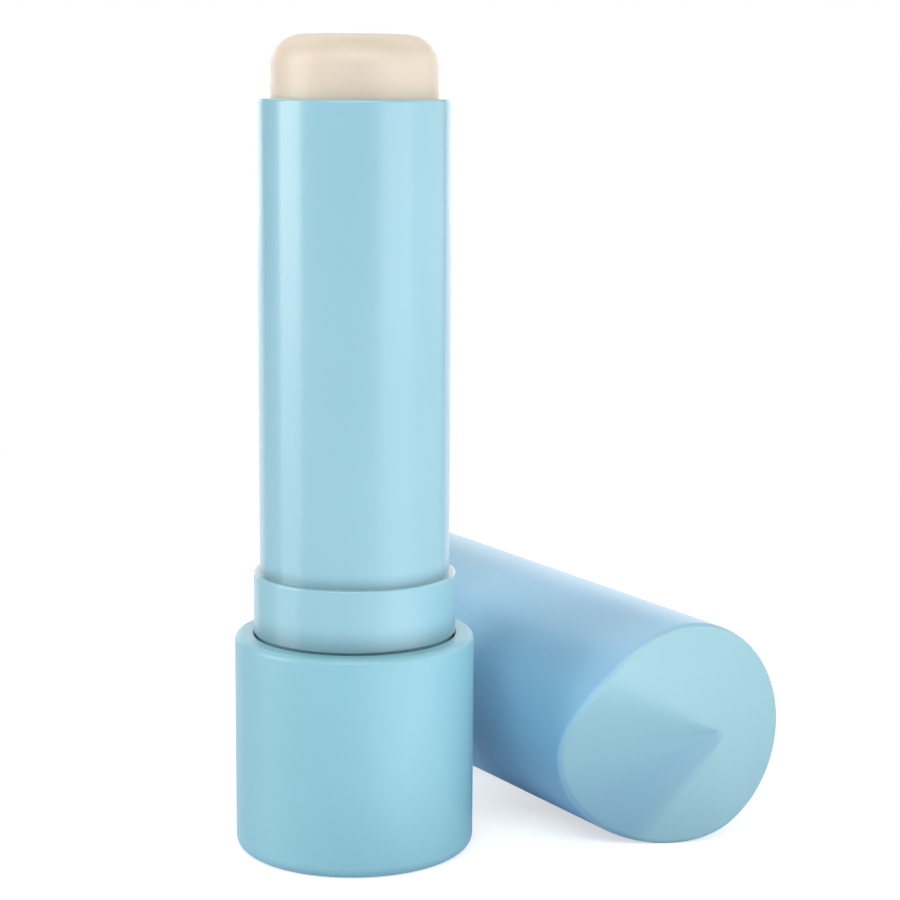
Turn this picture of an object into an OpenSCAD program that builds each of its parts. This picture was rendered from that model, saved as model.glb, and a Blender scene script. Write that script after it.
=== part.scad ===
// Lip balm stick with its cap pulled off and laid on its side behind it.
// Turning the tube in the base drives the carrier and the balm up a screw.
// Origin: centre of the foot. +Z runs up the stick, and the viewer stands on the -Y side.

/* [Base] */
// Wall of the twist base round its snap groove
base_wall = 1.15; // [0.8:0.05:3]
// Height of the twist base
base_h = 17.4; // [15:0.1:22]
// Thickness of the base floor
floor_t = 1.4; // [1:0.1:2]
// Rounding of the foot's outer edge
foot_round = 0.9; // [0.3:0.1:1.2]
// Rounding of the base's top outer edge
lip_round = 0.5; // [0.2:0.05:0.6]
// Bevel at the base's mouth
mouth_bevel = 0.45; // [0.2:0.05:0.5]
// Depth of the ring sunk in the underside
foot_groove_d = 0.35; // [0.2:0.05:0.5]
// Outer radius of the ring sunk in the underside
foot_groove_r = 7.2; // [6.4:0.1:7.8]
// Inner radius of the ring sunk in the underside
foot_pad_r = 4.8; // [4:0.1:5.6]
// Outer radius of the socket that holds the screw
boss_r = 3.7; // [3.4:0.1:4]
// Thickness of the webs round the socket
web_t = 0.9; // [0.6:0.1:1.2]
// Number of webs round the socket
web_n = 4; // [3:1:8]

/* [Tube] */
// Outer radius of the tube
tube_r = 7.5; // [7.3:0.05:7.7]
// Wall of the tube
tube_wall = 0.9; // [0.7:0.05:1.1]
// Height of the tube's rim above the foot
tube_top = 59.34; // [57:0.1:62]
// How far the tube is thicker where it turns in the base
turn_step = 0.3; // [0.2:0.05:0.3]
// How far the collar that the cap grips stands out from the tube
collar_step = 0.5; // [0.4:0.05:0.6]
// Height of the collar that stands above the base
collar_h = 5; // [4:0.1:7]
// Rounding of the collar's shoulder
collar_round = 0.35; // [0.1:0.05:0.4]
// Rounding of the tube's rim, inside and out
rim_round = 0.25; // [0.1:0.05:0.3]
// Width of a guide rib
rib_w = 0.8; // [0.6:0.1:1.2]
// Height of a guide rib above the bore wall
rib_h = 0.35; // [0.2:0.05:0.4]
// Number of guide ribs
rib_n = 4; // [2:1:6]
// Distance from the tube's rim down to the ribs' ends
rib_drop = 6.34; // [5.8:0.1:8]

/* [Snap ring] */
// How far the tube's snap ring stands out
snap_h = 0.4; // [0.3:0.05:0.5]
// Width of the flat on the snap ring
snap_w = 0.6; // [0.4:0.1:1]
// Height of the snap ring above the foot
snap_z = 12.6; // [10.5:0.1:13]

/* [Screw] */
// Rise of the carrier in one turn
lead = 4; // [3.5:0.1:4.5]
// Core radius of the screw
core_r = 1.9; // [1.7:0.05:2]
// Crest radius of the screw
crest_r = 2.7; // [2.5:0.05:2.75]
// Radius of the flange that sits on the socket
flange_r = 4.6; // [4.2:0.1:5]
// Thickness of the flange
flange_t = 1.2; // [0.8:0.1:1.5]
// Height of the flange's seat above the foot
seat_z = 7.8; // [7:0.1:8]
// Width of the square foot that keys into the socket
key_w = 4.2; // [3.8:0.1:4.3]
// Length of the square foot
key_h = 5.2; // [4:0.1:5.5]
// Height of the screw's tip above the foot
screw_top = 52; // [50.5:0.1:52.2]
// Length of the plain tip
tip_h = 1.5; // [1:0.1:2]

/* [Carrier] */
// Height of the carrier's plate above the foot, as the stick stands
plate_z = 24; // [23.9:0.1:25]
// Thickness of the plate
plate_t = 1.2; // [0.8:0.1:1.5]
// Height of the cup wall above the plate
cup_h = 6; // [4:0.1:7]
// Thickness of the cup wall
cup_t = 0.6; // [0.5:0.05:0.7]
// Outer radius of the threaded hub
hub_r = 4; // [3.8:0.1:4.4]
// Length of the hub below the plate
hub_h = 9; // [6:0.1:9.1]
// Length of the thread in the hub
nut_h = 4; // [3:0.1:5]

/* [Balm] */
// Gap between the balm and the tube's bore
balm_gap = 0.13; // [0.1:0.01:0.4]
// Height of the balm above the tube's rim, as the stick stands
balm_out = 4.85; // [2:0.05:8]
// Rounding of the balm's top edge
balm_round = 2.5; // [0.5:0.1:4]
// How far below the rim the balm goes when wound down
wind_down = 0.85; // [0.2:0.05:0.9]

/* [Cap] */
// How much smaller the cap's radius is at its closed end
cap_taper = 0.2; // [0.1:0.05:0.3]
// Length of the cap
cap_len = 48.3; // [48:0.1:56]
// Wall at the closed end and under the scoop
cap_wall = 1.4; // [1:0.1:1.6]
// Step from the cap's bore in to its end pocket
pocket_step = 0.2; // [0.16:0.01:0.3]
// Rounding of the closed end's edge
cap_round = 0.5; // [0.2:0.1:0.8]
// Depth of the lead-in at the mouth
lead_in = 0.4; // [0.2:0.1:0.6]
// Slope of the scoop's floor, in degrees
scoop_slope = 21.2; // [15:0.1:22]
// Half of the opening angle of the scoop's cone
scoop_half = 68; // [60:0.5:69]
// How far the scoop starts behind the centre of the end
scoop_back = 2.6; // [2:0.1:4]
// How far the scoop's middle line passes beside the centre
scoop_side = 1.2; // [0:0.1:2]
// Turn of the scoop about the cap, from level towards the floor
scoop_turn = 30; // [0:0.5:60]
// Heading of the closed end on the floor, from +X
cap_heading = -61.15; // [-75:0.05:-50]
// X of the closed end's centre on the floor
cap_x = 26.35; // [25:0.05:40]
// Y of the closed end's centre on the floor
cap_y = -3.2; // [-20:0.1:10]

/* [Clearances] */
// Gap between the tube and the base, beside it and under its collar
turn_gap = 0.15; // [0.1:0.01:0.2]
// Gap beside and under the parts that turn in the base
end_gap = 0.2; // [0.1:0.01:0.25]
// Radial gap between the carrier and the tube's bore
slide_gap = 0.15; // [0.1:0.01:0.2]
// Gap round a guide rib
rib_gap = 0.15; // [0.1:0.01:0.2]
// Gap between the threads of screw and hub
thread_gap = 0.2; // [0.15:0.01:0.25]
// Gap between the screw's crest and a plain hole round it
screw_gap = 0.4; // [0.3:0.05:0.6]
// Gap round the screw's square foot
key_gap = 0.05; // [0.02:0.01:0.1]
// Radial gap between the collar and the cap's bore
cap_gap = 0.08; // [0.05:0.01:0.15]

/* [Hidden] */
$fn = 96;
eps = 0.01;
// tube
bore_r = tube_r - tube_wall;
turn_r = tube_r + turn_step;
collar_r = tube_r + collar_step;
// base and snap ring
cup_r = turn_r + turn_gap;
snap_r = turn_r + snap_h;
snap_ramp = snap_h;
groove_r = snap_r + turn_gap;
base_r = groove_r + base_wall;
tube_foot = floor_t + end_gap;
collar_foot = base_h + turn_gap;
collar_top = base_h + collar_h;
web_r = bore_r - end_gap;
web_top = seat_z - 2;
key_slot = key_w + 2 * key_gap;
key_foot = seat_z - key_h;
// ribs
rib_foot = seat_z + flange_t;
rib_top = tube_top - rib_drop;
rib_r = bore_r - rib_h;
notch_w = rib_w + 2 * rib_gap;
notch_r = rib_r - rib_gap;
// winding travel
balm_top = tube_top + balm_out;
drop = balm_out + wind_down;
// screw
thread_foot = seat_z + flange_t - eps;
thread_top = screw_top - tip_h;
slices = 16;
// carrier and balm
balm_r = bore_r - balm_gap;
slider_r = bore_r - slide_gap;
plate_top = plate_z + plate_t;
cup_top = plate_top + cup_h;
cup_bore = slider_r - cup_t;
hub_foot = plate_z - hub_h;
clear_r = crest_r + screw_gap;
balm_hole_top = screw_top + drop + screw_gap;
balm_groove_top = rib_top + drop + rib_gap;
// cap, as wide as the base at its mouth
cap_r = base_r;
cap_end_r = cap_r - cap_taper;
cap_bore = collar_r + cap_gap;
pocket_r = cap_bore - pocket_step;
cavity_h = cap_len - cap_wall;
cap_bore_h = min(tube_top - base_h + end_gap, cavity_h - 2);
cap_draft = atan((cap_r - cap_end_r) / cap_len);
scoop_lift = scoop_half - scoop_slope;

// Points on an arc about c, from angle a0 to a1
function arc(c, r, a0, a1, n = 8) =
    [for (i = [0:n]) c + r * [cos(a0 + (a1 - a0) * i / n), sin(a0 + (a1 - a0) * i / n)]];

// Radius of the thread's section at angle a: a flat crest, sloped flanks and the core
function thread_r(a, grow) =
    core_r + grow + (crest_r - core_r) * min(1, max(0, (75 - abs(a)) / 45));

module turned(points) {
    rotate_extrude() polygon(points);
}

// Copies of a child in a ring about Z, the first one turned half a step from +X
module ring(count) {
    for (i = [0:count - 1])
        rotate([0, 0, (i + 0.5) * 360 / count]) children();
}

// Right-hand thread from z0 to z1, in step with every other one made here
module thread(z0, z1, grow) {
    section = [for (a = [-180:22.5:157.5]) thread_r(a, grow) * [cos(a), sin(a)]];
    turn = 360 * (z1 - z0) / lead;
    translate([0, 0, z0])
        rotate([0, 0, 360 * z0 / lead])
            linear_extrude(height = z1 - z0, twist = -turn, slices = ceil(slices * turn / 360), $fn = slices)
                polygon(section);
}

module base_shell() {
    groove_low = snap_z - end_gap - snap_ramp;
    groove_high = snap_z + snap_w + end_gap + snap_ramp;
    ramp = groove_r - cup_r;
    color([0.58, 0.78, 0.86])
        difference() {
            union() {
                turned(concat(
                    [[0, 0]],
                    arc([base_r - foot_round, foot_round], foot_round, -90, 0),
                    arc([base_r - lip_round, base_h - lip_round], lip_round, 0, 90),
                    [
                        [cup_r + mouth_bevel, base_h],
                        [cup_r, base_h - mouth_bevel],
                        [cup_r, groove_high],
                        [groove_r, groove_high - ramp],
                        [groove_r, groove_low + ramp],
                        [cup_r, groove_low],
                        [cup_r, floor_t],
                        [0, floor_t]
                    ]
                ));
                translate([0, 0, floor_t - eps]) cylinder(h = seat_z - floor_t + eps, r = boss_r);
                ring(web_n)
                    translate([0, -web_t / 2, floor_t - eps])
                        cube([web_r, web_t, web_top - floor_t + eps]);
            }
            translate([-key_slot / 2, -key_slot / 2, key_foot - end_gap])
                cube([key_slot, key_slot, seat_z]);
            turned([
                [foot_pad_r, -1],
                [foot_groove_r, -1],
                [foot_groove_r, foot_groove_d],
                [foot_pad_r, foot_groove_d]
            ]);
        }
}

module feed_screw() {
    color([0.93, 0.94, 0.93])
        union() {
            translate([-key_w / 2, -key_w / 2, key_foot]) cube([key_w, key_w, key_h + eps]);
            translate([0, 0, seat_z]) cylinder(h = flange_t, r = flange_r);
            thread(thread_foot, thread_top, 0);
            translate([0, 0, thread_top - eps]) cylinder(h = tip_h + eps, r1 = core_r - eps, r2 = core_r * 0.7);
        }
}

module tube() {
    color([0.61, 0.80, 0.87])
        union() {
            turned(concat(
                [[bore_r, tube_foot], [turn_r - snap_h, tube_foot], [turn_r, tube_foot + 2 * snap_h]],
                [
                    [turn_r, snap_z - snap_ramp],
                    [snap_r, snap_z],
                    [snap_r, snap_z + snap_w],
                    [turn_r, snap_z + snap_w + snap_ramp],
                    [turn_r, collar_foot],
                    [collar_r, collar_foot]
                ],
                arc([collar_r - collar_round, collar_top - collar_round], collar_round, 0, 90),
                [[tube_r, collar_top]],
                arc([tube_r - rim_round, tube_top - rim_round], rim_round, 0, 90),
                arc([bore_r + rim_round, tube_top - rim_round], rim_round, 90, 180)
            ));
            intersection() {
                ring(rib_n)
                    translate([rib_r, -rib_w / 2, rib_foot])
                        cube([rib_h + 0.4, rib_w, rib_top - rib_foot]);
                cylinder(h = tube_top, r = (bore_r + tube_r) / 2);
            }
        }
}

module carrier() {
    color([0.95, 0.95, 0.93])
        difference() {
            turned([
                [0, hub_foot],
                [hub_r, hub_foot],
                [hub_r, plate_z],
                [slider_r, plate_z],
                [slider_r, cup_top],
                [cup_bore, cup_top],
                [cup_bore, plate_top],
                [0, plate_top]
            ]);
            thread(hub_foot - 1, hub_foot + nut_h + eps, thread_gap);
            translate([0, 0, hub_foot + nut_h]) cylinder(h = hub_h + plate_t, r = clear_r);
            ring(rib_n)
                translate([notch_r, -notch_w / 2, hub_foot])
                    cube([tube_r, notch_w, cup_top]);
            ring(rib_n)
                translate([cup_bore - 1, -notch_w / 2, plate_top])
                    cube([tube_r, notch_w, cup_h + 1]);
        }
}

module balm() {
    color([0.92, 0.86, 0.78])
        difference() {
            turned(concat(
                [[0, plate_top], [cup_bore, plate_top], [cup_bore, cup_top], [balm_r, cup_top]],
                arc([balm_r - balm_round, balm_top - balm_round], balm_round, 0, 90, 12),
                [[0, balm_top]]
            ));
            translate([0, 0, plate_top - 1])
                cylinder(h = balm_hole_top - plate_top + 1 - clear_r / 2, r = clear_r);
            translate([0, 0, balm_hole_top - clear_r / 2 - eps])
                cylinder(h = clear_r / 2, r1 = clear_r, r2 = clear_r / 2);
            ring(rib_n)
                translate([notch_r, -notch_w / 2, cup_top - 1])
                    cube([tube_r, notch_w, balm_groove_top - cup_top + 1]);
        }
}

// Cone whose skin forms the thumb scoop; a thickness moves the skin inwards, parallel to itself
module scoop_cone(thickness) {
    translate([0, 0, cap_len])
        rotate([0, 0, scoop_turn - 90])
            translate([-scoop_back, scoop_side, 0])
                rotate([0, 90 - scoop_lift, 0])
                    translate([0, 0, -thickness / sin(scoop_half)])
                        cylinder(h = 2 * cap_r, r1 = 0, r2 = 2 * cap_r * tan(scoop_half));
}

module cap() {
    color([0.55, 0.74, 0.84])
        translate([cap_x, cap_y, 0])
            rotate([0, 0, cap_heading])
                translate([-cap_len * cos(cap_draft), 0, cap_r * cos(cap_draft)])
                    rotate([0, 90 + cap_draft, 0])
                        difference() {
                            turned(concat(
                                [[0, 0], [cap_r - lead_in / 2, 0], [cap_r, lead_in / 2]],
                                arc([cap_end_r - cap_round, cap_len - cap_round], cap_round, 0, 90),
                                [[0, cap_len]]
                            ));
                            difference() {
                                turned([
                                    [0, -1],
                                    [cap_bore + lead_in + 1, -1],
                                    [cap_bore, lead_in],
                                    [cap_bore, cap_bore_h],
                                    [pocket_r, cap_bore_h],
                                    [pocket_r, cavity_h - 1],
                                    [pocket_r - 1, cavity_h],
                                    [0, cavity_h]
                                ]);
                                scoop_cone(cap_wall);
                            }
                            scoop_cone(0);
                        }
}

base_shell();
feed_screw();
tube();
carrier();
balm();
cap();
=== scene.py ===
import math

import bpy
import numpy as np
from mathutils import Matrix, Vector


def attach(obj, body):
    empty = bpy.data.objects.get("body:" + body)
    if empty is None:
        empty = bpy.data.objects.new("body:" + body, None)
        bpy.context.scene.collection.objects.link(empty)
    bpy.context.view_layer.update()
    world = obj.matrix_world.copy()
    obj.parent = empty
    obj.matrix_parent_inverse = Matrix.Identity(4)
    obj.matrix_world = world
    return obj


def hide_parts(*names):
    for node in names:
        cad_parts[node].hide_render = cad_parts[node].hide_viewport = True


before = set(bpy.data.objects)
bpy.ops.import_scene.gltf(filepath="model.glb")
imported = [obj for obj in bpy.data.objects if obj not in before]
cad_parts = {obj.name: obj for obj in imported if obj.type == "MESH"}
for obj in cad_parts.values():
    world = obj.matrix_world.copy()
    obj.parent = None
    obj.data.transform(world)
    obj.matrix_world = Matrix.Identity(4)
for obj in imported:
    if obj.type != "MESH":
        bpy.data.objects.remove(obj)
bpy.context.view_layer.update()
mm = 0.001  # shapes are worked out in millimetres
print("frame: loaded")


# Evenly spaced angles once round, as one row
def roundAngles(count):
    return np.linspace(0, 2 * math.pi, count, endpoint=False)[None, :]


# A chain of corners (radius, height, rounding) becomes a smooth outline: each corner is an arc tangent to both
# of its sides, each straight run gets points at an even spacing and one close to either end
def roundedPath(corners, spacing=0.9, arcSteps=7, loop=False, shortRun=0.15, endGap=0.06):
    corner = np.array([c[:2] for c in corners], float)
    rounding = [c[2] if len(c) > 2 else 0.0 for c in corners]
    count = len(corner)
    pieces = []
    for i in range(count):
        inner = loop or 0 < i < count - 1
        if not inner or rounding[i] == 0:
            pieces.append(corner[i][None, :])
            continue
        before = corner[i - 1] - corner[i]
        after = corner[(i + 1) % count] - corner[i]
        before, after = before / np.linalg.norm(before), after / np.linalg.norm(after)
        opening = math.acos(np.clip(before @ after, -1, 1))
        middle = (before + after) / np.linalg.norm(before + after)
        centre = corner[i] + middle * rounding[i] / math.sin(opening / 2)
        start = corner[i] + before * rounding[i] / math.tan(opening / 2) - centre
        end = corner[i] + after * rounding[i] / math.tan(opening / 2) - centre
        sweep = math.pi - opening
        t = np.linspace(0, 1, arcSteps + 1)[:, None]
        pieces.append(centre + (np.sin((1 - t) * sweep) * start + np.sin(t * sweep) * end) / math.sin(sweep))
    path = []
    for i, piece in enumerate(pieces):
        path.append(piece)
        if i == count - 1 and not loop:
            break
        a, b = piece[-1], pieces[(i + 1) % count][0]
        length = np.linalg.norm(b - a)
        if length > shortRun:
            near = min(endGap, length / 4) / length
            t = np.concatenate([[near], np.linspace(near, 1 - near, int(length / spacing) + 2)[1:-1], [1 - near]])
            path.append(a + (b - a) * t[:, None])
    return np.concatenate(path)


# Rows of points in millimetres, each row a ring, become one closed mesh; the first and last ring
# shrink to a single point each, or join each other when the rows form a loop
def ringMesh(name, rows, loop=False, sharp=40):
    rows = np.asarray(rows, float) * mm
    count, around = rows.shape[:2]
    ring = np.arange(around)
    following = (ring + 1) % around
    firstRow = np.arange(count if loop else count - 1)[:, None] * around
    nextRow = (firstRow + around) % (count * around)
    quads = np.stack([firstRow + ring, firstRow + following, nextRow + following, nextRow + ring], -1).reshape(-1, 4)
    triangles = np.zeros((0, 3), int)
    points = rows.reshape(-1, 3)
    if not loop:
        low, high = points[:around].mean(0), points[-around:].mean(0)
        points = np.concatenate([points[around:-around], [low, high]])
        quads = quads[around:-around] - around
        lastRing = (count - 3) * around
        lowFan = np.stack([np.full(around, len(points) - 2), following, ring], -1)
        highFan = np.stack([np.full(around, len(points) - 1), lastRing + ring, lastRing + following], -1)
        triangles = np.concatenate([lowFan, highFan])
    # faces outwards: the volume under all triangles, a dot (b cross c), has to come out positive
    split = np.concatenate([quads[:, [0, 1, 2]], quads[:, [0, 2, 3]], triangles])
    a, b, c = points[split[:, 0]], points[split[:, 1]], points[split[:, 2]]
    if np.einsum("ij,ij->i", a, np.cross(b, c)).sum() < 0:
        quads, triangles = quads[:, ::-1], triangles[:, ::-1]
    mesh = bpy.data.meshes.new(name)
    mesh.from_pydata(points.tolist(), [], quads.tolist() + triangles.tolist())
    mesh.polygons.foreach_set("use_smooth", np.ones(len(mesh.polygons), bool))
    mesh.set_sharp_from_angle(angle=math.radians(sharp))
    mesh.validate()
    piece = bpy.data.objects.new(name, mesh)
    bpy.context.scene.collection.objects.link(piece)
    print("shape:", name, len(mesh.polygons), "faces")
    return piece


# A point (radius, height) turned about Z: radius times the cosine and sine of the angle, height unchanged
def turned(radius, height, angle):
    radius, height, angle = np.broadcast_arrays(radius, height, angle)
    return np.stack([radius * np.cos(angle), radius * np.sin(angle), height], -1)


# The same for a whole path of (radius, height) rows
def turnedPath(path, angle):
    return turned(path[:, :1], path[:, 1:], angle)


# Rises from 0 to 1 as x goes from a to b, level at both ends
def softStep(a, b, x):
    t = np.clip((x - a) / (b - a), 0, 1)
    return t * t * (3 - 2 * t)


# 1 on each of a few evenly spaced ribs and 0 between them: the arc length to the nearest rib, softly cut
# at half its width
def ribBand(angle, radius, count, width, edge=0.06):
    step = 2 * math.pi / count
    off = angle % step - step / 2
    return 1 - softStep(width / 2 - edge, width / 2 + edge, np.abs(off) * radius)


# Radius of a square about the axis: half its side over the larger of |cos| and |sin|
def squareRadius(half, angle):
    return half / np.maximum(np.abs(np.cos(angle)), np.abs(np.sin(angle)))


base = {
    "outerRadius": 9.5, "height": 17.4, "footRound": 0.9, "lipRound": 0.5,
    "bore": 7.95, "mouthBevel": 0.14, "mouthRound": 0.04, "floor": 1.4, "floorRound": 0.4, "floorEdge": 7.2,
    "ringOuter": 7.2, "ringInner": 4.8, "ringDepth": 0.35,
    "gateRadius": 1.15, "gateDepth": 0.22, "nubRadius": 0.35, "nubHeight": 0.1,
    "snapLow": 12.0, "snapHigh": 13.8, "snapRadius": 8.35, "snapRound": 0.08,
    "bossRadius": 3.7, "bossTop": 7.8, "bossRound": 0.1, "keyHalf": 2.15, "keyFloor": 2.4,
    "webs": 4, "webWidth": 0.9, "webReach": 6.4, "webTop": 5.8, "floorRows": 34, "around": 256,
}


# Twist base: its outline turned about the axis, a floor with four webs, and a boss with a square socket
def makeBase(v):
    angle = roundAngles(v["around"])
    ramp = v["snapRadius"] - v["bore"]
    shell = roundedPath([
        (0, v["nubHeight"]), (v["nubRadius"], v["nubHeight"], 0.06), (v["nubRadius"] + 0.15, v["gateDepth"], 0.1),
        (v["gateRadius"], v["gateDepth"], 0.1), (v["gateRadius"] + 0.25, 0, 0.1), (v["ringInner"], 0, 0.1),
        (v["ringInner"], v["ringDepth"], 0.1), (v["ringOuter"], v["ringDepth"], 0.1), (v["ringOuter"], 0, 0.1),
        (v["outerRadius"], 0, v["footRound"]), (v["outerRadius"], v["height"], v["lipRound"]),
        (v["bore"] + v["mouthBevel"], v["height"], v["mouthRound"]),
        (v["bore"], v["height"] - v["mouthBevel"], v["mouthRound"]), (v["bore"], v["snapHigh"], v["snapRound"]),
        (v["snapRadius"], v["snapHigh"] - ramp, v["snapRound"]), (v["snapRadius"], v["snapLow"] + ramp, v["snapRound"]),
        (v["bore"], v["snapLow"], v["snapRound"]), (v["bore"], v["floor"], v["floorRound"]),
        (v["floorEdge"], v["floor"]),
    ])
    # floor: level, with webs that rise where the arc length to a web's middle is under half its width
    radius = np.linspace(v["floorEdge"] - 0.2, v["bossRadius"] + 0.02, v["floorRows"])[:, None]
    reach = 1 - softStep(v["webReach"] - 0.1, v["webReach"] + 0.1, radius)
    web = ribBand(angle, radius, v["webs"], v["webWidth"]) * reach
    webbed = v["floor"] + (v["webTop"] - v["floor"]) * web
    # socket: from the boss's round top down into the square hole
    square = squareRadius(v["keyHalf"], angle)
    boss, top, edge = v["bossRadius"], v["bossTop"], v["bossRound"]
    return ringMesh("twistBase", np.concatenate([
        turnedPath(shell, angle), turned(radius, webbed, angle), turned(boss, webbed[-1:], angle),
        turned(boss, top - edge, angle), turned(boss - edge, top, angle), turned(square + edge, top, angle),
        turned(square, top - edge, angle), turned(square, v["keyFloor"], angle), turned(0.0, v["keyFloor"], angle),
    ]))


tube = {
    "radius": 7.5, "bore": 6.6, "foot": 1.6, "footRound": 0.15, "top": 59.34, "rimRound": 0.25, "turnRadius": 7.8,
    "collarRadius": 8.0, "collarFoot": 17.55, "collarTop": 22.4, "collarRound": 0.2, "neckRound": 0.05,
    "snapRadius": 8.2, "snapLow": 12.6, "snapHigh": 13.2,
    "ribs": 4, "ribWidth": 0.8, "ribHeight": 0.35, "ribLow": 9.0, "ribHigh": 53.0, "ribEnd": 0.1, "around": 320,
}


# Tube with its collar: a closed loop of wall outline turned about the axis, with guide ribs on its bore
def makeTube(v):
    angle = roundAngles(v["around"])
    snap = v["snapRadius"] - v["turnRadius"]
    path = roundedPath([
        (v["bore"], v["ribLow"] + v["ribEnd"]), (v["bore"], v["ribLow"] - v["ribEnd"]),
        (v["bore"], v["foot"], v["footRound"]), (v["turnRadius"] - snap, v["foot"], v["footRound"]),
        (v["turnRadius"], v["foot"] + 2 * snap, 0.3),
        (v["turnRadius"], v["snapLow"] - snap, 0.1), (v["snapRadius"], v["snapLow"], 0.12),
        (v["snapRadius"], v["snapHigh"], 0.12), (v["turnRadius"], v["snapHigh"] + snap, 0.1),
        (v["turnRadius"], v["collarFoot"]), (v["collarRadius"], v["collarFoot"], 0.05),
        (v["collarRadius"], v["collarTop"], v["collarRound"]), (v["radius"], v["collarTop"], v["neckRound"]),
        (v["radius"], v["top"], v["rimRound"]), (v["bore"], v["top"], v["rimRound"]),
        (v["bore"], v["ribHigh"] + v["ribEnd"]), (v["bore"], v["ribHigh"] - v["ribEnd"]),
    ], loop=True)
    radius, height = path[:, :1], path[:, 1:]
    # guide ribs: the bore's radius less the rib height, where the wall is inside and between the ribs' ends
    inside = (radius < v["bore"] + 0.01) & (height > v["ribLow"] - 0.05) & (height < v["ribHigh"] + 0.05)
    ribs = ribBand(angle, v["bore"], v["ribs"], v["ribWidth"]) * inside
    return ringMesh("tubeBody", turned(radius - v["ribHeight"] * ribs, height, angle), loop=True)


balm = {
    "radius": 6.47, "top": 64.19, "topRound": 2.5, "dimple": 0.05, "cupTop": 31.2, "cupBore": 5.85, "cupRound": 0.05,
    "plate": 25.2, "plateRound": 0.15, "hole": 3.1, "holeTop": 58.1, "holeTaper": 1.55, "holeRound": 0.3,
    "grooves": 4, "grooveWidth": 1.1, "grooveDepth": 0.37, "grooveTop": 58.85, "grooveEnd": 0.1, "around": 288,
}


# Balm: its outline and the hole for the screw turned about the axis, with grooves down its side
def makeBalm(v):
    angle = roundAngles(v["around"])
    path = roundedPath([
        (0, v["top"]), (v["radius"], v["top"], v["topRound"]), (v["radius"], v["grooveTop"] + v["grooveEnd"]),
        (v["radius"], v["grooveTop"] - v["grooveEnd"]), (v["radius"], v["cupTop"], v["cupRound"]),
        (v["cupBore"], v["cupTop"], v["cupRound"]), (v["cupBore"], v["plate"], v["plateRound"]),
        (v["hole"], v["plate"], v["plateRound"]), (v["hole"], v["holeTop"] - v["holeTaper"], v["holeRound"]),
        (v["hole"] / 2, v["holeTop"], v["holeRound"]), (0, v["holeTop"]),
    ], spacing=0.7, arcSteps=14)
    radius, height = path[:, :1], path[:, 1:]
    # the top sinks a little towards its middle, as poured wax does: a bowl of one minus the squared radius share
    bowl = np.clip(1 - (radius / (v["radius"] - v["topRound"])) ** 2, 0, 1) * (height > v["top"] - 0.01)
    # grooves left by the tube's guide ribs, below the part that stands out of the tube at rest
    side = (radius > v["radius"] - 0.01) & (height < v["grooveTop"]) & (height > v["cupTop"])
    groove = ribBand(angle, v["radius"], v["grooves"], v["grooveWidth"]) * side
    return ringMesh("balmBullet", turned(radius - v["grooveDepth"] * groove, height - v["dimple"] * bowl, angle))


# The ridge's half width and flank are degrees round the axis; the key's corners are cut off at a share of its half side
screw = {
    "foot": 2.6, "footBevel": 0.3, "keyHalf": 2.1, "keyCorner": 1.36, "seat": 7.8, "flange": 4.6, "flangeTop": 9.0,
    "lead": 4.0, "core": 1.9, "crest": 2.7, "ridgeHalf": 75, "ridgeFlank": 45, "threadTop": 50.5, "runOut": 0.8,
    "top": 52.0, "around": 80, "rowsPerTurn": 26,
}


# Feed screw: a square key, a flange, a thread and a blunt tip, ring on ring up the axis
def makeScrew(v):
    angle = roundAngles(v["around"])
    square = np.minimum(squareRadius(v["keyHalf"], angle), v["keyHalf"] * v["keyCorner"])
    head = roundedPath([(v["keyHalf"], v["seat"]), (v["flange"], v["seat"], 0.1), (v["flange"], v["flangeTop"], 0.3),
                        (v["crest"] + 0.4, v["flangeTop"])], spacing=0.5)
    # thread: core radius plus a ridge where the angle less a full turn for each lead of height is near zero
    rows = int((v["threadTop"] - v["flangeTop"]) / v["lead"] * v["rowsPerTurn"])
    height = np.linspace(v["flangeTop"] + 0.02, v["threadTop"], rows)[:, None]
    off = (angle - 2 * math.pi * height / v["lead"] + math.pi) % (2 * math.pi) - math.pi
    ridge = np.clip((math.radians(v["ridgeHalf"]) - np.abs(off)) / math.radians(v["ridgeFlank"]), 0, 1)
    fade = 1 - softStep(v["threadTop"] - v["runOut"], v["threadTop"], height)
    thread = v["core"] + (v["crest"] - v["core"]) * ridge * fade
    tip = roundedPath([(v["core"], v["threadTop"] + 0.1), (v["core"] * 0.7, v["top"], 0.3), (0, v["top"])], spacing=0.3)
    bevel = v["footBevel"]
    return ringMesh("feedScrew", np.concatenate([
        turned(0.0, v["foot"], angle), turned(square - bevel, v["foot"], angle),
        turned(square, v["foot"] + bevel, angle),
        turned(square, v["seat"] - 0.02, angle), turnedPath(head, angle), turned(thread, height, angle),
        turnedPath(tip, angle),
    ]))


# The nose is where the scoop's slopes meet, right of and above the end's middle; edges are bearings round it
# in degrees, rises are millimetres of depth for each millimetre out
cap = {
    "radius": 9.5, "endRadius": 9.3, "length": 48.3, "wall": 1.4, "edge": 0.45,
    "bore": 8.08, "boreStart": 0.9, "boreEnd": 42.14, "pocket": 7.88, "leadIn": 0.4, "mouthRound": 0.25,
    "insideRound": 0.5, "insideSoft": 0.3, "insideSlope": 1.02,
    "noseRight": 3.1, "noseUp": 0.1, "upperEdge": 152.4, "upperRise": 0.694, "floorBearing": 198.6, "floorRise": 0.4,
    "lowerEdge": 271.7, "lowerRise": 0.499, "upperSoft": 0.1, "lowerSoft": 0.04,
    "edgeCrisp": 0.1, "edgeSoft": 0.13, "edgeFrom": 1.5,
    "heading": -61.15, "endX": 26.35, "endY": -3.2, "around": 320, "faceRows": 90, "sideRows": 60,
}


# The smaller of a and b, rounded over where they meet: half their sum less half the root of their squared
# difference plus the squared softness
def softMin(a, b, soft):
    return 0.5 * (a + b - np.sqrt((a - b) ** 2 + soft ** 2))


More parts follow.
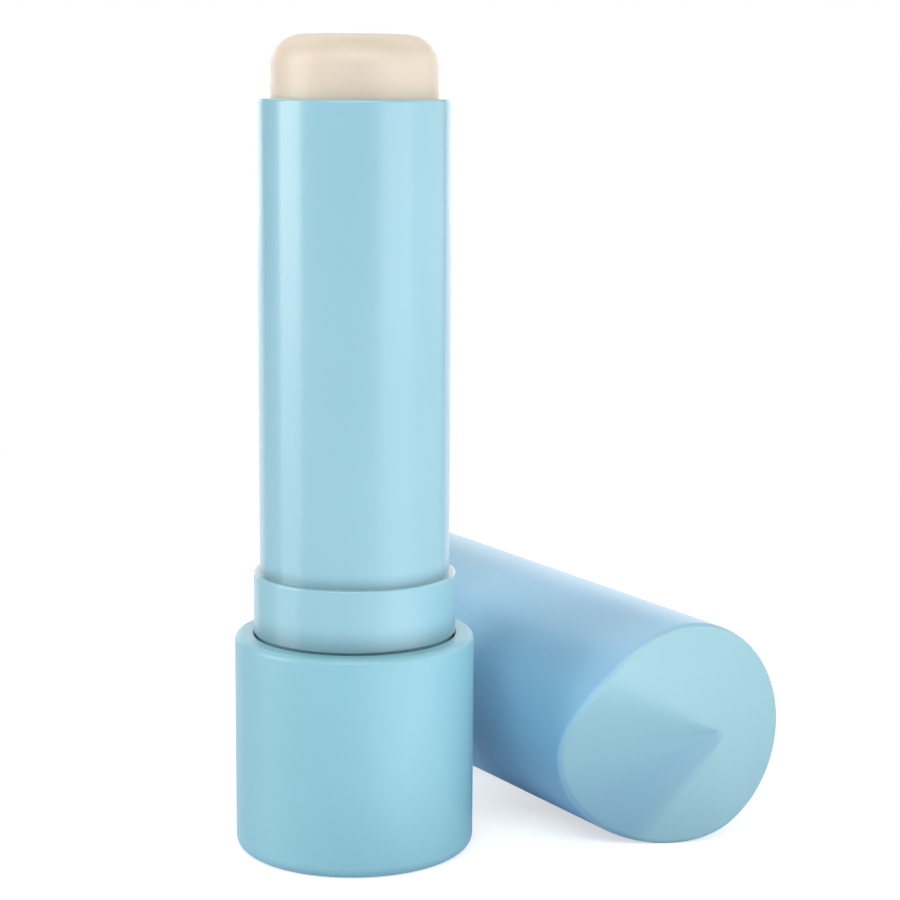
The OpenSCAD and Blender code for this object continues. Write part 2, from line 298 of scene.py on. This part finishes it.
# Height of the closed end at x, y: its level less a scoop of three slopes that run out from one nose,
# each a plane through it, softer the further out they meet; and the depth of the slopes alone
def capEnd(v, x, y):
    right, up = y - v["noseRight"], -x - v["noseUp"]
    reach = np.hypot(right, up)

    def slope(bearing, rise):
        return rise * (right * math.cos(math.radians(bearing)) + up * math.sin(math.radians(bearing)))

    upper = slope(v["upperEdge"] + 90, v["upperRise"])
    floor = slope(v["floorBearing"], v["floorRise"])
    lower = slope(v["lowerEdge"] - 90, v["lowerRise"])
    cut = softMin(softMin(upper, floor, v["upperSoft"] * reach), lower, v["lowerSoft"] * reach)
    soft = v["edgeCrisp"] + v["edgeSoft"] * np.maximum(reach - v["edgeFrom"], 0)
    return v["length"] + softMin(-cut, 0, soft), cut


# Where the finished cap lies: how far it leans down, its heading, and the height of its closed end's middle
def capPlace(v):
    lean = math.atan((v["radius"] - v["endRadius"]) / v["length"])
    return lean, math.radians(v["heading"]), v["radius"] * math.cos(lean) - v["length"] * math.sin(lean)


# Cap: made upright on its mouth, out over the end, down the side and back up the bore, then laid on its side
def makeCap(v):
    angle = roundAngles(v["around"])
    cosA, sinA = np.cos(angle), np.sin(angle)

    def endAt(radius):
        return capEnd(v, radius * cosA, radius * sinA)

    # end: rings of growing radius on the scooped level, then the edge rolls over by a quarter circle
    draft = (v["radius"] - v["endRadius"]) / v["length"]
    rim = v["radius"] - draft * endAt(v["endRadius"])[0]
    radius = np.linspace(0, 1, v["faceRows"])[:, None] ** 0.8 * (rim - v["edge"])
    face = turned(radius, endAt(radius)[0], angle)
    roll = np.linspace(0, math.pi / 2, 9)[1:, None]
    radius = rim - v["edge"] + v["edge"] * np.sin(roll)
    edge = turned(radius, endAt(radius)[0] - v["edge"] * (1 - np.cos(roll)), angle)
    # side: straight with draft, from the rolled edge to the mouth
    top = edge[-1:, :, 2]
    share = np.concatenate([[0.003], np.linspace(0, 1, v["sideRows"])[1:]])[:, None]
    height = top + (v["mouthRound"] + 0.05 - top) * share
    side = turned(rim + (v["radius"] - rim) * (top - height) / top, height, angle)
    lip = roundedPath([(v["radius"], v["mouthRound"] + 0.05), (v["radius"], 0, v["mouthRound"]),
                       (v["bore"] + v["leadIn"], 0, 0.12), (v["bore"], v["leadIn"], 0.15),
                       (v["bore"], v["boreStart"] - 0.1)])[1:]

    # inside: the bore, a narrower pocket, then an end that follows the scoop one wall further in
    def insideEnd(radius):
        return v["length"] + softMin(-endAt(radius)[1] * v["insideSlope"], 0, v["insideSoft"]) - v["wall"]

    height = np.linspace(v["boreStart"], v["boreEnd"], 30)[:, None] + 0 * angle
    bore = turned(v["bore"], height, angle)
    step = turned(v["pocket"], height[-1:], angle)
    deep = insideEnd(v["pocket"] + 0 * angle) - v["insideRound"]
    height = v["boreEnd"] + 0.02 + (deep - v["boreEnd"] - 0.02) * np.linspace(0, 1, 6)[:, None]
    pocket = turned(v["pocket"], height, angle)
    roll = np.linspace(0, math.pi / 2, 7)[1:, None]
    radius = v["pocket"] - v["insideRound"] + v["insideRound"] * np.cos(roll) + 0 * angle
    corner = turned(radius, insideEnd(radius) - v["insideRound"] + v["insideRound"] * np.sin(roll), angle)
    radius = (v["pocket"] - v["insideRound"]) * np.linspace(1, 0, 40)[1:, None] + 0 * angle
    ceiling = turned(radius, insideEnd(radius), angle)
    rows = np.concatenate([face, edge, side, turnedPath(lip, angle), bore, step, pocket, corner, ceiling])
    # laid down: turned onto the floor by a right angle plus the draft, then to its heading
    lean, heading, endUp = capPlace(v)
    x, y, z = rows[..., 0], rows[..., 1], rows[..., 2] - v["length"]
    flat = z * math.cos(lean) - x * math.sin(lean)
    return ringMesh("capShell", np.stack([
        v["endX"] + flat * math.cos(heading) - y * math.sin(heading),
        v["endY"] + flat * math.sin(heading) + y * math.cos(heading),
        endUp - x * math.cos(lean) - z * math.sin(lean),
    ], -1))


pieces = {
    "base": makeBase(base), "tube": makeTube(tube), "balm": makeBalm(balm), "screw": makeScrew(screw),
    "cap": makeCap(cap),
}
carried = {
    "base": ("base", "base_shell", "blue_base"), "tube": ("tube", "tube", "blue_tube"),
    "balm": ("carriage", "balm", "balm_wax"), "screw": ("base", "feed_screw", "white_screw"),
    "cap": ("base", "cap", "blue_cap"),
}
for key, (body, node, slotName) in carried.items():
    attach(pieces[key], body)
    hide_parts(node)
print("pieces: seated on their bodies")


# A colour as a screen shows it, 0 to 255, in linear light
def linearColour(red, green, blue):
    value = np.array([red, green, blue], float) / 255
    value = np.where(value <= 0.04045, value / 12.92, ((value + 0.055) / 1.055) ** 2.4)
    return (*value.tolist(), 1.0)


# A node with its settings, and its inputs by their names
def addNode(tree, kind, **values):
    node = tree.nodes.new(kind)
    for key, value in values.items():
        if hasattr(node, key):
            setattr(node, key, value)
        else:
            node.inputs[key.replace("_", " ")].default_value = value
    return node


# A noise whose grain is given in millimetres
def addNoise(tree, place, size, detail, roughness, distortion=0.0):
    node = addNode(tree, "ShaderNodeTexNoise", Scale=1 / (size * mm), Detail=detail, Roughness=roughness,
                   Distortion=distortion)
    tree.links.new(place, node.inputs["Vector"])
    return node.outputs["Fac"]


# Runs from first to last while the value goes from low to high
def addFade(tree, value, low, high, first=0.0, last=1.0, curve="SMOOTHSTEP"):
    node = addNode(tree, "ShaderNodeMapRange", interpolation_type=curve, From_Min=low, From_Max=high,
                   To_Min=first, To_Max=last)
    tree.links.new(value, node.inputs["Value"])
    return node.outputs["Result"]


# One operation on numbers or on other nodes' results
def addMath(tree, operation, *values):
    node = addNode(tree, "ShaderNodeMath", operation=operation)
    for socket, value in zip(node.inputs, values):
        if isinstance(value, (int, float)):
            socket.default_value = value
        else:
            tree.links.new(value, socket)
    return node.outputs[0]


# Two shades mixed by a share from 0 to 1
def addShades(tree, share, shadeA, shadeB):
    node = addNode(tree, "ShaderNodeMix", data_type="RGBA")
    node.inputs[6].default_value = linearColour(*shadeA)
    node.inputs[7].default_value = linearColour(*shadeB)
    tree.links.new(share, node.inputs[0])
    return node.outputs[2]


# A material with one Principled shader, and the place on the piece that its patterns read
def newMaterial(name):
    material = bpy.data.materials.new(name)
    material.use_nodes = True
    tree = material.node_tree
    tree.nodes.clear()
    output = tree.nodes.new("ShaderNodeOutputMaterial")
    shader = tree.nodes.new("ShaderNodeBsdfPrincipled")
    tree.links.new(shader.outputs["BSDF"], output.inputs["Surface"])
    return material, tree, shader, tree.nodes.new("ShaderNodeTexCoord").outputs["Object"]


# The skin of a material: roughness between two values by one pattern, and a bump in millimetres by another
def addSkin(tree, shader, streaks, roughness, grain, strength, depth):
    tree.links.new(addFade(tree, streaks, 0, 1, *roughness, curve="LINEAR"), shader.inputs["Roughness"])
    bump = addNode(tree, "ShaderNodeBump", Strength=strength, Distance=depth * mm)
    tree.links.new(grain, bump.inputs["Height"])
    tree.links.new(bump.outputs["Normal"], shader.inputs["Normal"])


plastic = {
    "shadeSize": 9.0, "grainSize": 0.35, "grainDepth": 0.004, "grainStrength": 0.25, "flowSize": 3.0, "flowStretch": 4,
    "ior": 1.49, "coat": 0.35, "coatRoughness": 0.12,
}
satin = {**plastic, "grainDepth": 0.006, "coat": 0.25, "coatRoughness": 0.26}
sheer = {**satin, "ior": 1.62, "coat": 0.45, "coatRoughness": 0.34}


# Moulded plastic: two close shades mixed by broad noise, roughness carried by streaky flow noise, and a fine
# grain as bump. A painted shade band (height, reach, share kept) darkens the colour just above the height,
# fading over the reach, as painted contact shade where one part meets another
def mouldedPlastic(name, shadeA, shadeB, roughness, look, paintedShadeBands=()):
    material, tree, shader, place = newMaterial(name)
    link = tree.links.new
    colour = addShades(tree, addNoise(tree, place, look["shadeSize"], 2.0, 0.5), shadeA, shadeB)
    # painted contact shade: each band darkens the colour just above its height, where shade falls between two parts
    for low, reach, kept in paintedShadeBands:
        height = tree.nodes.new("ShaderNodeSeparateXYZ")
        link(place, height.inputs[0])
        fade = addFade(tree, height.outputs["Z"], low * mm, (low + reach) * mm, kept, curve="SMOOTHERSTEP")
        under = addMath(tree, "LESS_THAN", height.outputs["Z"], low * mm)
        dim = addNode(tree, "ShaderNodeVectorMath", operation="SCALE")
        link(colour, dim.inputs[0])
        link(addMath(tree, "MAXIMUM", fade, under), dim.inputs["Scale"])
        colour = dim.outputs[0]
    link(colour, shader.inputs["Base Color"])
    stretch = addNode(tree, "ShaderNodeMapping", Scale=(1, 1, 1 / look["flowStretch"]))
    link(place, stretch.inputs["Vector"])
    addSkin(tree, shader, addNoise(tree, stretch.outputs["Vector"], look["flowSize"], 3.0, 0.55), roughness,
            addNoise(tree, place, look["grainSize"], 2.0, 0.6), look["grainStrength"], look["grainDepth"])
    shader.inputs["IOR"].default_value = look["ior"]
    shader.inputs["Coat Weight"].default_value = look["coat"]
    shader.inputs["Coat Roughness"].default_value = look["coatRoughness"]
    return material


# The scoop's painted shade: bearings in degrees from straight left towards the floor, where the painted shade of its
# wedge comes in and goes out again, the colour's shares on and off it (dim, the painted shade; lit, a painted tint for
# the light that the rest of the end face catches), how deep and wide the end is, and how blunt the wedge starts
scoop = {
    "start": -6, "full": 34, "end": 49, "gone": 59, "lit": (0.97, 0.905, 0.75), "dim": (0.72, 0.735, 0.685),
    "depth": 7.0, "rim": (9.1, 9.28), "shiftRight": 1.25, "shiftUp": 0.6, "blunt": (0.9, 1.7),
}


# Painted light on the thumb scoop, multiplied over the cap's colour on its closed end alone: a painted shade, darker in
# a wedge that runs out from near the nose, told by the bearing round that point, and off the wedge a painted tint, less
# blue, for the light that the rest of the end face catches
def paintScoopShade(material, v, look):
    tree = material.node_tree
    link = tree.links.new
    shader = next(node for node in tree.nodes if node.type == "BSDF_PRINCIPLED")
    colour = shader.inputs["Base Color"].links[0].from_socket
    place = tree.nodes.new("ShaderNodeTexCoord").outputs["Object"]
    lean, heading, endUp = capPlace(v)

    # distance along a direction from the end's middle, in millimetres
    def along(*direction):
        shift = addNode(tree, "ShaderNodeVectorMath", operation="SUBTRACT")
        shift.inputs[1].default_value = Vector((v["endX"], v["endY"], endUp)) * mm
        dot = addNode(tree, "ShaderNodeVectorMath", operation="DOT_PRODUCT")
        dot.inputs[1].default_value = Vector(direction) / mm
        link(place, shift.inputs[0])
        link(shift.outputs[0], dot.inputs[0])
        return dot.outputs["Value"]

    # length of the two together: the root of the sum of their squares
    def length(a, b):
        squares = addMath(tree, "MULTIPLY", a, a), addMath(tree, "MULTIPLY", b, b)
        return addMath(tree, "SQRT", addMath(tree, "ADD", *squares))

    right = along(-math.sin(heading), math.cos(heading), 0)
    up = along(0, 0, 1)
    out = along(math.cos(heading), math.sin(heading), 0)
    left = addMath(tree, "SUBTRACT", v["noseRight"] + look["shiftRight"], right)
    below = addMath(tree, "SUBTRACT", v["noseUp"] + look["shiftUp"], up)
    bearing = addMath(tree, "ARCTAN2", below, left)
    wedge = addMath(tree, "MULTIPLY", addFade(tree, bearing, math.radians(look["start"]), math.radians(look["full"])),
                    addFade(tree, bearing, math.radians(look["end"]), math.radians(look["gone"]), 1, 0))
    wedge = addMath(tree, "MULTIPLY", wedge, addFade(tree, length(left, below), *look["blunt"]))
    face = addMath(tree, "MULTIPLY", addFade(tree, length(right, up), *look["rim"], 1, 0),
                   addFade(tree, out, -look["depth"], 0.5 - look["depth"]))
    # painted light: dim is the painted shade inside the wedge, lit a painted tint for the light on the rest of the end
    # face
    tone = addNode(tree, "ShaderNodeMix", data_type="VECTOR")
    tone.inputs[4].default_value = look["lit"]
    tone.inputs[5].default_value = look["dim"]
    link(wedge, tone.inputs[0])
    shaded = addNode(tree, "ShaderNodeVectorMath", operation="MULTIPLY")
    link(colour, shaded.inputs[0])
    link(tone.outputs[1], shaded.inputs[1])
    mixed = addNode(tree, "ShaderNodeMix", data_type="RGBA")
    link(face, mixed.inputs[0])
    link(colour, mixed.inputs[6])
    link(shaded.outputs[0], mixed.inputs[7])
    link(mixed.outputs[2], shader.inputs["Base Color"])


wax = {
    "mottleSize": 5.0, "speckSize": 0.8, "roughness": (0.3, 0.46), "grainDepth": 0.012, "grainStrength": 0.3,
    "ior": 1.44, "subsurface": 0.25, "radius": (0.0022, 0.0014, 0.0009),
}


# Poured wax: cream mottled by soft noise, duller flecks where fine noise peaks, a little light carried under the skin
def pouredWax(name, shadeA, shadeB, look):
    material, tree, shader, place = newMaterial(name)
    mottle = addNoise(tree, place, look["mottleSize"], 4.0, 0.6, 0.4)
    tree.links.new(addShades(tree, mottle, shadeA, shadeB), shader.inputs["Base Color"])
    speck = addNoise(tree, place, look["speckSize"], 3.0, 0.65)
    addSkin(tree, shader, speck, look["roughness"], speck, look["grainStrength"], look["grainDepth"])
    shader.inputs["IOR"].default_value = look["ior"]
    shader.inputs["Subsurface Weight"].default_value = look["subsurface"]
    shader.inputs["Subsurface Radius"].default_value = look["radius"]
    shader.inputs["Subsurface Scale"].default_value = 1.0
    return material


# Painted contact shade on the tube: (height, reach, share kept) for bands just above the collar's top and just above
# the base's mouth
collarPaintedShade = ((22.38, 1.3, 0.72), (17.2, 2.6, 0.62))  # over the collar, and where the collar leaves the base
finishes = {
    "base": mouldedPlastic("bluePlasticBase", (138, 192, 208), (144, 198, 213), (0.38, 0.48), satin),
    "tube": mouldedPlastic("bluePlasticTube", (148, 195, 210), (154, 201, 216), (0.26, 0.36), plastic, collarPaintedShade),
    "cap": mouldedPlastic("bluePlasticCap", (145, 196, 227), (151, 202, 232), (0.42, 0.5), sheer),
    "screw": mouldedPlastic("whitePlasticScrew", (232, 233, 229), (238, 239, 235), (0.28, 0.4), plastic),
    "balm": pouredWax("creamWax", (220, 206, 188), (227, 213, 197), wax),
}
# The cap's closed end gets a painted shade in the scoop's wedge and a painted tint of light over the rest of its face
paintScoopShade(finishes["cap"], cap, scoop)
for key, material in finishes.items():
    pieces[key].data.materials.append(material)
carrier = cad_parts["carrier"]
carrier.data.materials.clear()
carrier.data.materials.append(
    mouldedPlastic("whitePlasticCarrier", (234, 233, 226), (240, 239, 233), (0.3, 0.42), plastic))
print("finishes: made")


# Place in millimetres, turns in degrees, focal length in pixels of a picture this wide
camera = {"place": (0.0, -178.4, 61.2), "yaw": 2.41, "pitch": 9.29, "roll": 0.38, "focal": 2296.0, "picture": 900.0}


def makeCamera(v):
    yaw, pitch, roll = (math.radians(v[k]) for k in ("yaw", "pitch", "roll"))
    ahead = np.array([math.sin(yaw) * math.cos(pitch), math.cos(yaw) * math.cos(pitch), -math.sin(pitch)])
    right = np.array([math.cos(yaw), -math.sin(yaw), 0.0])
    up = np.cross(right, ahead)
    data = bpy.data.cameras.new("camera")
    data.sensor_width = 36.0
    data.lens = v["focal"] / v["picture"] * data.sensor_width
    data.clip_start = 0.005
    data.clip_end = 20.0
    made = bpy.data.objects.new("camera", data)
    bpy.context.scene.collection.objects.link(made)
    turn = np.eye(4)
    turn[:3, 0] = math.cos(roll) * right + math.sin(roll) * up
    turn[:3, 1] = -math.sin(roll) * right + math.cos(roll) * up
    turn[:3, 2] = -ahead
    turn[:3, 3] = np.array(v["place"]) * mm
    made.matrix_world = Matrix(turn.tolist())
    bpy.context.scene.camera = made


makeCamera(camera)

# Softboxes: bearing in degrees to the right of the camera as seen from the stick, how far off, how high their
# middle is, how far they face up from level in degrees, width and height in metres, watts and any tint
warm = (1, 0.965, 0.9)
softboxes = {
    "rightNear": {"bearing": 56, "off": 0.5, "rise": 0.2, "tilt": 0, "size": (0.445, 0.4), "power": 0.9, "tint": warm},
    "rightFar": {"bearing": 104.5, "off": 0.5, "rise": 0.2, "tilt": 0, "size": (0.456, 0.4), "power": 0.8, "tint": warm},
    "leftCore": {"bearing": -82, "off": 0.5, "rise": 0.2, "tilt": 0, "size": (0.3, 0.4), "power": 1.9, "tint": warm},
    "topFront": {"bearing": 0, "off": 0.45, "rise": 0.5, "tilt": -46, "size": (0.7, 0.3), "power": 2.85},
    "topBack": {"bearing": 180, "off": 0.4, "rise": 0.5, "tilt": -50, "size": (0.8, 0.4), "power": 1.5},
    "back": {"bearing": 180, "off": 0.7, "rise": 0.15, "tilt": 0, "size": (1.2, 0.3), "power": 2.0},
    "table": {"bearing": 42, "off": 0.064, "rise": 0.0006, "tilt": 90, "size": (0.07, 0.06), "power": 0.018},
    "lowRight": {"bearing": 48, "off": 0.3, "rise": 0.03, "tilt": 10, "size": (0.25, 0.06), "power": 0.06},
}

# Floor and air: sizes and radii in metres, the floor's colour for the eye and the one that the pieces pick up
studio = {
    "floorHalf": 1.6, "floorCells": 8, "nearFloor": 0.09, "farFloor": 0.2, "floorColour": (0.6, 0.6, 0.6, 1.0),
    "floorGlow": 0.62, "floorBounce": (0.72, 0.8, 0.93, 1.0), "floorSheen": 0.12, "floorIor": 1.49, "ambient": 0.0,
}


# Chooses between two shaders: one for what the eye sees straight, one for all other light
def seenApart(tree, output, seen, others):
    pick = tree.nodes.new("ShaderNodeMixShader")
    path = tree.nodes.new("ShaderNodeLightPath")
    tree.links.new(path.outputs["Is Camera Ray"], pick.inputs[0])
    tree.links.new(others.outputs[0], pick.inputs[1])
    tree.links.new(seen.outputs[0], pick.inputs[2])
    tree.links.new(pick.outputs[0], tree.nodes.new(output).inputs["Surface"])


# Floor: a level square of points, white and lifted a little for the eye so that the shadow stays, and
# with a slight sheen for light that comes by way of the pieces
def makeFloor(v):
    cells = v["floorCells"]
    side = np.linspace(-v["floorHalf"], v["floorHalf"], cells + 1)
    x, y = np.meshgrid(side, side)
    points = np.stack([x, y, np.zeros_like(x)], -1).reshape(-1, 3)
    corner = (np.arange(cells)[:, None] * (cells + 1) + np.arange(cells)).reshape(-1)
    faces = np.stack([corner, corner + 1, corner + cells + 2, corner + cells + 1], -1)
    mesh = bpy.data.meshes.new("studioFloor")
    mesh.from_pydata(points.tolist(), [], faces.tolist())
    floor = bpy.data.objects.new("studioFloor", mesh)
    bpy.context.scene.collection.objects.link(floor)
    material = bpy.data.materials.new("paleFloor")
    material.use_nodes = True
    tree = material.node_tree
    tree.nodes.clear()
    link = tree.links.new
    matt = addNode(tree, "ShaderNodeBsdfDiffuse", Color=v["floorColour"])
    glow = addNode(tree, "ShaderNodeEmission", Strength=v["floorGlow"])
    near = tree.nodes.new("ShaderNodeAddShader")
    link(matt.outputs[0], near.inputs[0])
    link(glow.outputs[0], near.inputs[1])
    # further off the floor is plain white: distance from the middle, from the near to the far radius
    distance = addNode(tree, "ShaderNodeVectorMath", operation="LENGTH")
    link(tree.nodes.new("ShaderNodeTexCoord").outputs["Object"], distance.inputs[0])
    white = addNode(tree, "ShaderNodeEmission", Strength=1.0)
    spread = tree.nodes.new("ShaderNodeMixShader")
    link(addFade(tree, distance.outputs["Value"], v["nearFloor"], v["farFloor"]), spread.inputs[0])
    link(near.outputs[0], spread.inputs[1])
    link(white.outputs[0], spread.inputs[2])
    acrylic = addNode(tree, "ShaderNodeBsdfPrincipled", Base_Color=v["floorBounce"], Roughness=v["floorSheen"],
                      IOR=v["floorIor"])
    seenApart(tree, "ShaderNodeOutputMaterial", spread, acrylic)
    mesh.materials.append(material)


# World: white for the eye, and the ambient strength for light
def makeWorld(v):
    world = bpy.data.worlds.new("studioAir")
    bpy.context.scene.world = world
    world.use_nodes = True
    tree = world.node_tree
    tree.nodes.clear()
    seen = addNode(tree, "ShaderNodeBackground", Color=(1, 1, 1, 1), Strength=1.0)
    light = addNode(tree, "ShaderNodeBackground", Color=(1, 1, 1, 1), Strength=v["ambient"])
    seenApart(tree, "ShaderNodeOutputWorld", seen, light)


# Each softbox stands off the middle at its bearing from the camera's and faces back along it, tilted up or down
def makeSoftboxes(boxes):
    ahead = math.atan2(camera["place"][1], camera["place"][0])
    for name, box in boxes.items():
        data = bpy.data.lights.new(name + "Softbox", "AREA")
        data.shape = "RECTANGLE"
        data.size, data.size_y = box["size"]
        data.energy = box["power"]
        data.color = box.get("tint", (1, 1, 1))
        made = bpy.data.objects.new(name + "Softbox", data)
        bpy.context.scene.collection.objects.link(made)
        turn = ahead + math.radians(box["bearing"])
        tilt = math.radians(box["tilt"])
        facing = Vector((-math.cos(turn) * math.cos(tilt), -math.sin(turn) * math.cos(tilt), math.sin(tilt)))
        made.location = (box["off"] * math.cos(turn), box["off"] * math.sin(turn), box["rise"])
        made.rotation_euler = facing.to_track_quat("-Z", "Y").to_euler()
        made.visible_camera = False


makeFloor(studio)
makeWorld(studio)
makeSoftboxes(softboxes)
bpy.context.scene.view_settings.view_transform = "Standard"
print("studio: lit")
